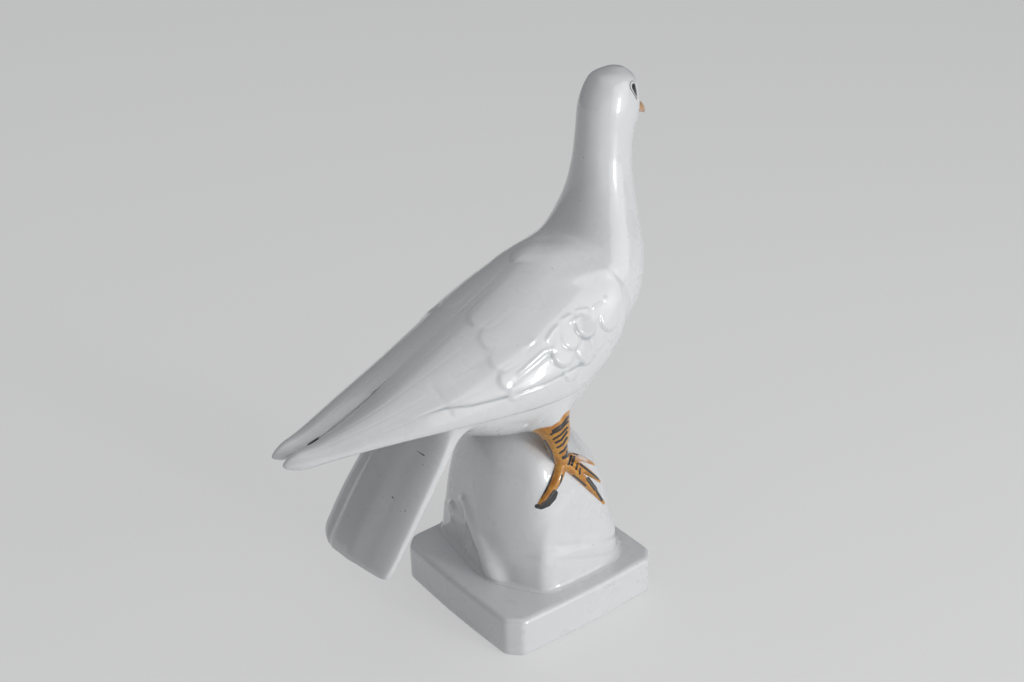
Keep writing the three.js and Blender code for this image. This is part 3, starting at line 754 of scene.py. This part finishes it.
# %% The nearest place on another piece, for every point at once
def asking_tree():
    """A node tree that stores on each point the nearest position and normal of another object."""
    tree = bpy.data.node_groups.new("nearest on the other", "GeometryNodeTree")
    tree.interface.new_socket("Geometry", in_out="INPUT", socket_type="NodeSocketGeometry")
    other = tree.interface.new_socket("Other", in_out="INPUT", socket_type="NodeSocketObject")
    tree.interface.new_socket("Geometry", in_out="OUTPUT", socket_type="NodeSocketGeometry")
    inside, outside = tree.nodes.new("NodeGroupInput"), tree.nodes.new("NodeGroupOutput")
    target = tree.nodes.new("GeometryNodeObjectInfo")
    tree.links.new(inside.outputs["Other"], target.inputs["Object"])
    geometry = inside.outputs["Geometry"]
    for kind, name in (("GeometryNodeInputPosition", "near"), ("GeometryNodeInputNormal", "facing")):
        value, sample = tree.nodes.new(kind), tree.nodes.new("GeometryNodeSampleNearestSurface")
        store = tree.nodes.new("GeometryNodeStoreNamedAttribute")
        sample.data_type = store.data_type = "FLOAT_VECTOR"
        store.inputs["Name"].default_value = name
        tree.links.new(target.outputs["Geometry"], sample.inputs["Mesh"])
        tree.links.new(value.outputs[0], sample.inputs["Value"])
        tree.links.new(sample.outputs["Value"], store.inputs["Value"])
        tree.links.new(geometry, store.inputs["Geometry"])
        geometry = store.outputs["Geometry"]
    tree.links.new(geometry, outside.inputs[0])
    return tree, other.identifier


# %% How far points lie from a piece
asker = bpy.data.objects.new("asker", bpy.data.meshes.new("asked points"))
bpy.context.scene.collection.objects.link(asker)
asking = asker.modifiers.new("ask", "NODES")
asking.node_group, ask_other = asking_tree()


def distance(points, piece):
    """Distance in millimetres to the piece's surface, below zero inside it, and the way out."""
    asker.data.clear_geometry()
    asker.data.vertices.add(len(points))
    asker.data.vertices.foreach_set("co", (points * MM).astype(np.float32).ravel())
    asking[ask_other] = piece
    asker.update_tag()
    told = evaluated(asker).data.attributes
    away = points - vectors(told["near"].data, "vector") / MM
    facing = vectors(told["facing"].data, "vector")
    side = np.where(np.sum(away * facing, axis=1) < 0, -1, 1)
    return np.linalg.norm(away, axis=1) * side, facing


# %% The level of the slip
def reach_at(reach, points):
    """The reach of a joint: one number, or a function of the place."""
    return reach(points) if callable(reach) else reach


def slip_level(points, piece, others):
    """Distance of points over the slip between a piece and others, and the way out. With h from 0
    at the reach to 1 in the corner, the smooth minimum of two distances is the lesser one less
    reach h squared / 4."""
    level, way = distance(points, piece)
    for other, reach in others:
        other_level, other_way = distance(points, other)
        wide = reach_at(reach, points)
        h = np.clip(1 - np.abs(level - other_level) / wide, 0, 1)
        share = np.where(other_level < level, 1 - h / 2, h / 2)[:, None]
        level = np.minimum(level, other_level) - wide * h**2 / 4
        way = way * (1 - share) + other_way * share
        way /= np.maximum(np.linalg.norm(way, axis=1, keepdims=True), 0.1)
    return level, way


# %% Moving the points onto the slip
# The depth of the skirt inside the other piece, how far it dips, and the widest reach of a joint
SKIRT, DIP, WIDEST = 2.5, 0.3, 9
SLIP_STEPS = 4


def onto_slip(piece, others):
    """The piece's points after they have moved onto the slip in a few steps. Inside the other piece
    a skirt of them goes along, dips under the surface and ends, so that nothing there is seen."""
    points = points_of(piece)
    far, depth = np.full(len(points), np.inf), np.zeros(len(points))
    for other, reach in others:
        box = points_of(other)
        close = np.all((points > box.min(0) - WIDEST) & (points < box.max(0) + WIDEST), axis=1)
        gap = distance(points[close], other)[0]
        far[close] = np.minimum(far[close], gap - reach_at(reach, points[close]))
        depth[close] = np.maximum(depth[close], -gap)
    near = (far < 0) & (depth < SKIRT)
    start = points[near]
    moved = start.copy()
    for _ in range(SLIP_STEPS):
        level, way = slip_level(moved, piece, others)
        moved = moved - way * level[:, None]
    dip = DIP * (depth[near] / SKIRT) ** 2
    stays = smooth_step(depth[near] / SKIRT * 2 - 1)
    points[near] += (moved - way * dip[:, None] - start) * (1 - stays)[:, None]
    return points


def slip(pairs):
    """Fills the corners between pairs of pieces; all places are found before a point is moved."""
    others = {}
    for one, other, reach in pairs:
        others.setdefault(one, []).append((other, reach))
        others.setdefault(other, []).append((one, reach))
    places = {piece: onto_slip(piece, near) for piece, near in others.items()}
    for piece, points in places.items():
        moved = np.linalg.norm(points - points_of(piece), axis=1)
        move_to(piece, points)
        furthest = round(float(moved.max()), 2)
        print(piece.name, "moved by up to", furthest, "mm at", (moved > 0.01).sum(), "points")


# %% The reach of each joint
def wing_reach(points):
    """Wide over the shoulder and widest at the nape, and narrow under the wing, where its edge
    stands off the belly."""
    height = points[:, 2] - PERCH_Z
    nape = smooth_step((points[:, 0] - MIDDLE_X + 16) / 16) * smooth_step((height - 92) / 8)
    return np.interp(height, (40, 62), (3, 5)) + 4 * nape


slip([
    (wings["left"], body, wing_reach), (wings["right"], body, wing_reach), (tail, body, WIDEST),
    (tail, wings["left"], 3), (tail, wings["right"], 3), (rock, body, 4), (legs["left"], body, 6),
    (legs["right"], body, 6), (legs["left"], rock, 1.2), (legs["right"], rock, 1.2), (beak, body, 1.2),
])
bpy.data.objects.remove(asker)

# %% The soft line where the shoulder leaves the breast
SHOULDER_LINE = np.array([
    (21.5, 20, 104.3), (26.8, 24.7, 103.7), (30.2, 28.2, 101.4), (33.6, 31.6, 97.6), (36.6, 33.8, 93.7),
    (42.9, 36, 84.7), (46.2, 35.5, 75.6)]) + (MIDDLE_X, 0, PERCH_Z)
SCORE_DEEP, SCORE_WIDE = 0.4, 1.6
for piece in (body, *wings.values()):
    points = points_of(piece)
    apart = away_from(points * (1, -1, 1) if piece is wings["right"] else points, SHOULDER_LINE)
    if piece is body:
        apart = np.minimum(apart, away_from(points * (1, -1, 1), SHOULDER_LINE))
    points -= vectors(piece.data.vertices, "normal") * SCORE_DEEP * bell(apart, SCORE_WIDE)[:, None]
    move_to(piece, points)
    print(piece.name, "scored at", (apart < SCORE_WIDE).sum(), "points")

# %% [markdown]
# ## Glaze
#
# Porcelain is a white clay under a clear glass. The clay gives the soft shading and the glass
# gives the sharp reflections, so the shader has a rough white base under a clear coat. The glass
# is never quite flat: slow waves bend the reflections. Where it pools in a groove it is thicker
# and looks a little grey, and the grooves are painted darker grey still as painted shade. The
# slot between the wings is painted nearly black as painted shade. A few specks of iron burn
# through the glass as dark dots.


# %% Small helpers that wire shader nodes
def feed(socket, value):
    """Wires another node's value into a socket, or sets the socket to a plain value."""
    if isinstance(value, bpy.types.NodeSocket):
        socket.id_data.links.new(value, socket)
    else:
        socket.default_value = value


def new_material(name):
    """A material, its shader, and the helper that adds nodes. The helper's in_ words are sockets."""
    material = bpy.data.materials.new(name)
    material.use_nodes = True
    tree = material.node_tree

    def add(kind, **settings):
        node = tree.nodes.new(kind)
        for key, value in settings.items():
            if key.startswith("in_"):
                socket = key[3:]
                feed(node.inputs[int(socket) if socket.isdigit() else socket], value)
            else:
                setattr(node, key, value)
        return node
    return material, tree.nodes["Principled BSDF"], add


# %% Names for the nodes that the glazes use most
def mixed(add, share, first, second):
    """Colour between two others, by a share from 0 to 1."""
    return add("ShaderNodeMix", data_type="RGBA", in_0=share, in_6=first, in_7=second).outputs[2]


def between(add, value, low, high):
    """0 below low, 1 above high and smooth between them, or the other way round."""
    node = add("ShaderNodeMapRange", interpolation_type="SMOOTHSTEP", in_0=value, in_1=low, in_2=high)
    return node.outputs[0]


def reckon(add, operation, *values, **settings):
    """The result of one calculation with up to three values."""
    sockets = {f"in_{place}": value for place, value in enumerate(values)}
    return add("ShaderNodeMath", operation=operation, **sockets, **settings).outputs[0]


def times(add, one, other):
    """The product of two values."""
    return reckon(add, "MULTIPLY", one, other)


def noise(add, place, scale, detail, **settings):
    """A cloudy pattern of a given fineness."""
    return add("ShaderNodeTexNoise", in_Vector=place, in_Scale=scale, in_Detail=detail, **settings).outputs[0]


def own_place(add):
    """The place on the object, in metres."""
    return add("ShaderNodeTexCoord").outputs["Object"]


def stored(add, name):
    """A value that was stored at the points of the mesh."""
    return add("ShaderNodeAttribute", attribute_name=name).outputs["Fac"]


# %% The white glaze
WHITE = (0.80, 0.812, 0.825, 1)
CLOUD = (0.70, 0.72, 0.74, 1)
# Grey of the grooves: partly pooled glaze, partly painted shade.
POOLED_AND_SHADE = (0.50, 0.53, 0.56, 1)
# Dark iron of the specks, and the painted shade that fills the slot between the wings.
IRON_AND_SLOT_SHADE = (0.035, 0.03, 0.028, 1)
# Cells to a metre, the dot's size as a share of its cell, and the chance that a cell stays empty
SPECKS = [(260.0, 0.055, 0.93), (90.0, 0.035, 0.90)]


def white_colour(add):
    """White clay with faint clouds and dark specks of several sizes. The grooves are painted grey,
    as pooled glaze and as painted shade, and the slot between the wings nearly black as painted shade.
    """
    place = own_place(add)
    clouds = noise(add, place, 28.0, 3.0)
    colour = mixed(add, times(add, between(add, clouds, 0.4, 0.8), 0.14), WHITE, CLOUD)
    for scale, size, rare in SPECKS:
        cells = add("ShaderNodeTexVoronoi", in_Vector=place, in_Scale=scale)
        chance = add("ShaderNodeSeparateColor", in_0=cells.outputs["Color"]).outputs[0]
        dot = between(add, cells.outputs["Distance"], size * 1.6, size)
        dot = times(add, dot, between(add, chance, rare, rare + 0.005))
        colour = mixed(add, times(add, dot, 0.8), colour, IRON_AND_SLOT_SHADE)
    pool_and_shade = stored(add, "pool_and_shade")
    # Grooves painted grey: partly pooled glaze, partly painted shade.
    colour = mixed(add, between(add, pool_and_shade, 0.05, 0.6), colour, POOLED_AND_SHADE)
    # The slot between the wings painted nearly black, as painted shade.
    return mixed(add, between(add, pool_and_shade, 0.9, 2.2), colour, IRON_AND_SLOT_SHADE)


# %% The glass over it
def glass(add, shader, colour, waves=0.05):
    """The clear coat over the colour, and the slow waves and fine pits that its surface keeps."""
    place = own_place(add)
    slow = noise(add, place, 70.0, 2.0)
    fine = noise(add, place, 900.0, 2.0)
    first = add("ShaderNodeBump", in_Strength=waves, in_Distance=0.001, in_Height=slow).outputs[0]
    pits = add("ShaderNodeBump", in_Strength=0.02, in_Distance=0.0002, in_Height=fine, in_Normal=first)
    rough = add("ShaderNodeMapRange", in_0=slow, in_1=0.3, in_2=0.7, in_3=0.24, in_4=0.34).outputs[0]
    sockets = {
        "Base Color": colour, "Roughness": rough, "Normal": pits.outputs[0], "Coat Normal": pits.outputs[0],
        "Coat Weight": 1.0, "Coat Roughness": 0.035, "Coat IOR": 1.5,
    }
    for socket, value in sockets.items():
        feed(shader.inputs[socket], value)


def white_glaze(name):
    """A new white material, to be painted on before the glass goes over it."""
    material, shader, add = new_material(name)
    return material, shader, add, white_colour(add)


# %% [markdown]
# ## Paint
#
# Before the glaze goes on, a brush adds the eye, the beak, the legs and the claws. The eye's
# strokes are worked out by the shader from how far a place lies from the middle of the stroke,
# so they are sharp at any size. Both sides of the bird are painted alike, so the place's Y is
# taken without its sign.


# %% A brush stroke as a mask
def mirrored_place(add):
    """Object coordinates in millimetres, with Y taken without its sign."""
    parts = add("ShaderNodeSeparateXYZ", in_0=own_place(add)).outputs
    x, y, z = (times(add, part, 1 / MM) for part in parts)
    return add("ShaderNodeCombineXYZ", in_0=x, in_1=reckon(add, "ABSOLUTE", y), in_2=z).outputs[0]


def stroke(add, place, start, end, width, taper=0.0, edge=0.25):
    """1 inside a stroke from start to end: the distance to its middle line is less than its half
    width, which grows or shrinks along it by the taper."""
    start, end = np.array(start, float), np.array(end, float)
    length = float(np.linalg.norm(end - start))
    axis = tuple((end - start) / length)
    off = add("ShaderNodeVectorMath", operation="SUBTRACT", in_0=place, in_1=tuple(start)).outputs[0]
    run = add("ShaderNodeVectorMath", operation="DOT_PRODUCT", in_0=off, in_1=axis).outputs["Value"]
    share = reckon(add, "DIVIDE", run, length, use_clamp=True)
    run = times(add, share, length)
    near = add("ShaderNodeVectorMath", operation="SCALE", in_0=axis, in_Scale=run).outputs[0]
    far = add("ShaderNodeVectorMath", operation="DISTANCE", in_0=off, in_1=near).outputs["Value"]
    half = reckon(add, "MULTIPLY_ADD", share, taper, width)
    return between(add, reckon(add, "SUBTRACT", far, half), edge, -edge)


# %% The body's glaze with the painted eye
BLACK = (0.006, 0.006, 0.007, 1)
body_glaze, shader, add, colour = white_glaze("white glaze with eye")
place = mirrored_place(add)
pupil = stroke(add, place, (99.4, 13.2, 290.6), (101.9, 13.5, 284.0), 2.0, taper=-1.4)
ring_outer = stroke(add, place, (98.9, 13.2, 291.0), (101.7, 13.5, 283.6), 3.1, taper=-2.2, edge=0.12)
ring_inner = stroke(add, place, (99.1, 13.2, 291.1), (101.8, 13.5, 283.8), 2.7, taper=-2.1, edge=0.12)
thin_line = times(add, ring_outer, reckon(add, "SUBTRACT", 1.0, ring_inner))
for mask in (pupil, times(add, thin_line, 0.8)):
    colour = mixed(add, mask, colour, BLACK)
glass(add, shader, colour)

# %% The plain white glaze, and one that shows ink where a point has it
plain_glaze, shader, add, colour = white_glaze("white glaze")
glass(add, shader, colour)

inked_glaze, shader, add, colour = white_glaze("white glaze with ink")
colour = mixed(add, between(add, stored(add, "ink"), 0.15, -0.15), colour, BLACK)
glass(add, shader, colour, waves=0.08)

# %% The beak's paint
BEAK_PAINT, BEAK_STREAK, BEAK_DARK = (0.50, 0.27, 0.13, 1), (0.60, 0.40, 0.24, 1), (0.10, 0.06, 0.04, 1)
beak_glaze, shader, add = new_material("beak paint")
place = mirrored_place(add)
streaks = noise(add, place, 0.9, 4.0)
colour = mixed(add, between(add, streaks, 0.35, 0.65), BEAK_PAINT, BEAK_STREAK)
height = add("ShaderNodeSeparateXYZ", in_0=place).outputs[2]
colour = mixed(add, times(add, between(add, height, 272.2, 270.8), 0.8), colour, BEAK_DARK)
glass(add, shader, colour)

# %% The legs' paint: amber with darker streaks under the black strokes
AMBER, OCHRE, BROWN = (0.52, 0.19, 0.012, 1), (0.70, 0.33, 0.035, 1), (0.20, 0.075, 0.012, 1)
leg_glaze, shader, add, white = white_glaze("leg paint")
place = mirrored_place(add)
streaks = noise(add, place, 0.22, 5.0, in_Roughness=0.65)
brushed = noise(add, place, 1.1, 3.0)
amber = mixed(add, between(add, streaks, 0.38, 0.62), AMBER, OCHRE)
amber = mixed(add, times(add, between(add, brushed, 0.55, 0.75), 0.5), amber, BROWN)
colour = mixed(add, stored(add, "amber"), white, amber)
ragged = reckon(add, "MULTIPLY_ADD", brushed, 0.5, stored(add, "ink"))
colour = mixed(add, between(add, ragged, 0.5, 0.25), colour, BLACK)
glass(add, shader, colour)

# %% [markdown]
# ## Strokes of the brush
#
# The painter puts bars, outlines and claws on the legs with a fine brush. They could be an image,
# but then they would blur close up. Here each stroke is a short path on a flat view of the leg,
# seen from the side and behind, and every point of the mesh keeps its distance to the nearest
# stroke. The paint begins where that distance falls below zero, so its edge is sharp.


# %% The flat view on which the strokes are drawn
RIGHTWARD, UPWARD = np.array((0.768, -0.64, 0.002)), np.array((0.332, 0.402, 0.853))


def flat_view(points):
    """Millimetres to the right of the ankle and above it, as the painter sees the right leg."""
    points = points - ankle[:3]
    return np.stack([points @ RIGHTWARD, points @ UPWARD], -1)


# %% The strokes, each with its half width and the places that it runs through
BARS = [
    (0.45, [(-5, 16.3), (0.1, 19.7), (3.7, 24.5)]), (0.5, [(-6, 14.5), (-0.7, 17.4), (3.3, 21.7)]),
    (0.45, [(-4.6, 12), (-0.7, 14.3), (2.9, 18.4)]), (0.5, [(-3.4, 10.1), (-0.3, 11.7), (2.7, 16)]),
    (0.45, [(-2.4, 7.6), (0.5, 9.3), (2.7, 13)]), (0.45, [(-1.1, 4.6), (1.3, 6.4), (2.9, 9)]),
    (0.8, [(0.7, 2.1), (2.8, 3.3), (3.2, 5.6)]), (0.6, [(3.6, -1.4), (5.2, 2.9)]),
    (0.6, [(5.4, -1.8), (6.8, 2.5)]), (0.45, [(7.9, -4.2), (8.5, -1.1)]),
    (0.4, [(9.7, -6.9), (10.1, -3.8)]), (0.25, [(6.4, 4.6), (8.7, 3.8)]),
]
OUTLINES = [
    (0.55, [(-9.4, 11.1), (-8.2, 9.5), (-5.8, 4.8), (-4.7, -0.7), (-5.1, -5.4), (-6.7, -10.5),
            (-9, -15.6), (-11.8, -19.1)]),
    (0.35, [(0, -7.3), (-0.8, -12), (-3.5, -16.8), (-7.1, -20.3)]), (0.5, [(6.2, -7.6), (13, -13.2)]),
    (0.3, [(2, -6.2), (3.6, -7.6)]),
]
CLAWS = [
    (1.2, [(-14, -24.4), (-11.4, -25), (-7.5, -23.4), (-4.4, -19.9), (-3.4, -17)]),
    (1.2, [(-10.6, -23.7), (-7.8, -21.7), (-5.3, -18.4), (-4, -16.6)]),
    (1.1, [(14.6, -9.6), (18.9, -15.4)]), (0.7, [(18.9, -15.2), (22.6, -21.6)]),
    (0.45, [(10.3, -1.5), (20.5, -9.7)]),
]
CLAW_NEAR = 11
# The upper edge of the amber, and the place between the toes where the brush left it thin
PAINT_EDGE = [
    (-36, 15.4), (-18.8, 16.2), (-11.3, 18), (-5.4, 19), (-1.4, 21.7), (1.3, 25.6), (7.6, 30.7), (13.2, 36.2)]
THIN_PAINT, THIN_WIDE = [(7.5, 5), (13, 1)], 1.8
# Dark marks on the tail, as places in the frame
MARKS = [
    (0.3, [(-48.6, -14.5, 128.3), (-47.8, -20.5, 127.2)]),
    (0.4, [(-64.4, -13.5, 105.6), (-64.3, -16, 104.9)]),
    (0.45, [(-63.7, -24.4, 102.5), (-63.7, -24.6, 102.4)]),
    (0.3, [(-65.1, -21.9, 101.8), (-65.1, -22, 101.7)]),
]


def ink_distance(view, strokes):
    """Distance to the edge of the nearest stroke, below zero inside it."""
    return np.min([away_from(view, path) - half for half, path in strokes], axis=0)


# %% Strokes on the legs, the rock and the tail
for leg, side in ((legs["right"], 1), (legs["left"], -1)):
    view = flat_view(points_of(leg) * (1, side, 1))
    keep(leg, "ink", ink_distance(view, BARS + OUTLINES + CLAWS))
    under = np.interp(view[:, 0], *np.transpose(PAINT_EDGE)) - view[:, 1]
    thin = 0.65 * bell(away_from(view, THIN_PAINT), THIN_WIDE)
    keep(leg, "amber", smooth_step(under / 0.8 + 0.5) * (1 - thin))

rock_points = points_of(rock)
rock_points[:, 1] = -np.abs(rock_points[:, 1])
claw_spots = [toe_spot(toe, 1 + CLAW_REACH / 2, 0, 0)[:3] for toe in TOES]
from_claws = np.min([np.linalg.norm(rock_points - spot, axis=1) for spot in claw_spots], axis=0)
keep(rock, "ink", np.where(from_claws < CLAW_NEAR, ink_distance(flat_view(rock_points), CLAWS), 1))

marks = [(half, flat_view(np.array(path))) for half, path in MARKS]
outer = np.concatenate([[False], np.tile(np.arange(TAIL_SIDES) < TAIL_SIDES / 2, TAIL_RINGS), [False]])
keep(tail, "ink", np.where(outer, ink_distance(flat_view(points_of(tail)), marks), 1))
print("painted:", [piece.name for piece in (*legs.values(), rock, tail)])

# %% [markdown]
# ## Seating the pieces
#
# Every piece takes the place of its node in the frame and rides on its one body. How deep a
# groove is goes along with the mesh as a value at each point, for the glaze to pool there and for
# the painted shade in the grooves and in the slot between the wings.


# %% Each piece in its node's place, with its glaze and a value at each point for pooled glaze and painted shade
def seat(piece, node, glaze, pool_and_shade=None):
    """The piece takes the place of its node in the frame and its glaze."""
    keep(piece, "pool_and_shade", np.zeros(len(piece.data.vertices)) if pool_and_shade is None else pool_and_shade)
    piece.data.materials.clear()
    piece.data.materials.append(glaze)
    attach(piece, "root")
    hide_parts(node)


wing_pool_and_shade = np.concatenate([[0], wing_pool_and_shade.ravel(), [0]])
seat(body, "body", body_glaze)
seat(wings["left"], "wing_left", plain_glaze, wing_pool_and_shade)
seat(wings["right"], "wing_right", plain_glaze, wing_pool_and_shade)
seat(tail, "tail", inked_glaze)
seat(beak, "beak", beak_glaze)
seat(legs["left"], "leg_left", leg_glaze)
seat(legs["right"], "leg_right", leg_glaze)
seat(rock, "rock", inked_glaze)
seat(plinth, "plinth", plain_glaze)

# %% [markdown]
# ## Table, light and camera
#
# Glaze shows what it reflects, so the lights are the last part of the finish. A narrow window
# gives the small bright spots, the pale wall round it lights the bird's right side, and the
# ceiling and the room fill the rest. For the camera the table is partly pale paper that glows by
# itself, which keeps it pale while the shadow still falls on it. The camera stands where the
# photograph was taken from: behind the bird, to its right and a little above.

# %% A plain table
bpy.ops.mesh.primitive_plane_add(size=12, location=(0, 0, 0))
table = bpy.context.object
table.name = "table"
table_paint, shader, add = new_material("table paint")
tone = noise(add, own_place(add), 3.0, 4.0)
feed(shader.inputs["Base Color"], mixed(add, tone, (0.78, 0.78, 0.775, 1), (0.81, 0.81, 0.81, 1)))
feed(shader.inputs["Roughness"], 0.6)
seen = add("ShaderNodeLightPath").outputs
look = reckon(add, "MAXIMUM", seen["Is Camera Ray"], seen["Is Glossy Ray"])
look = reckon(add, "MAXIMUM", look, seen["Is Transmission Ray"])
paper = add("ShaderNodeEmission", in_0=(0.80, 0.80, 0.80, 1), in_1=1.0).outputs[0]
look = times(add, look, 0.55)
blend = add("ShaderNodeMixShader", in_0=look, in_1=shader.outputs[0], in_2=paper)
feed(table_paint.node_tree.nodes["Material Output"].inputs["Surface"], blend.outputs[0])
table.data.materials.append(table_paint)


# %% The window, the bright wall round it and the room's light
AIM = (0.0, 0.0, 0.2)
# Name, direction from the aim, distance, width and height in metres, and watts
LAMPS = [
    ("window", (0.29, -0.95, 0.06), 1.0, 0.09, 0.22, 2.2),
    ("bright wall", (0.33, -0.92, 0.28), 1.5, 1.5, 1.1, 7),
    ("ceiling", (-0.1, -0.1, 1.0), 1.7, 1.8, 1.8, 5.5),
    ("room behind", (-0.5, -0.85, 0.0), 2.0, 1.2, 1.2, 2.5),
]
for name, direction, metres, width, height, watts in LAMPS:
    light = bpy.data.lights.new(name, "AREA")
    light.shape, light.size, light.size_y, light.energy = "RECTANGLE", width, height, watts
    lamp = bpy.data.objects.new(name, light)
    direction = np.array(direction) / np.linalg.norm(direction)
    lamp.location = np.array(AIM) + direction * metres
    lamp.rotation_mode = "QUATERNION"
    lamp.rotation_quaternion = Vector(direction).to_track_quat("Z", "Y")
    bpy.context.scene.collection.objects.link(lamp)

world = bpy.data.worlds.new("room")
world.use_nodes = True
background = world.node_tree.nodes["Background"].inputs
feed(background["Color"], (0.95, 0.97, 1.0, 1))
feed(background["Strength"], 0.2)
bpy.context.scene.world = world

# %% The camera, from where the photograph was taken
CAMERA_AT = np.array([-386.0, -492.7, 464.1])
AZIMUTH, ELEVATION, ROLL = -37.4, 26.0, np.radians(-1.14)
FOCAL_PIXELS, PICTURE_WIDE, SENSOR = 1277, 1024, 36
back, level = pointing(AZIMUTH - 90, ELEVATION), pointing(AZIMUTH, 0)
right = level * np.cos(ROLL) + np.cross(back, level) * np.sin(ROLL)
up = np.cross(back, level) * np.cos(ROLL) - level * np.sin(ROLL)
lens = bpy.data.cameras.new("camera")
lens.sensor_width = SENSOR
lens.lens = FOCAL_PIXELS / PICTURE_WIDE * SENSOR
camera = bpy.data.objects.new("camera", lens)
bpy.context.scene.collection.objects.link(camera)
place = (CAMERA_AT + np.array([MIDDLE_X, 0, 0])) * MM
camera.matrix_world = Matrix.Translation(place) @ Matrix(np.stack([right, up, back], 1)).to_4x4()
bpy.context.scene.camera = camera
bpy.context.scene.view_settings.view_transform = "Standard"
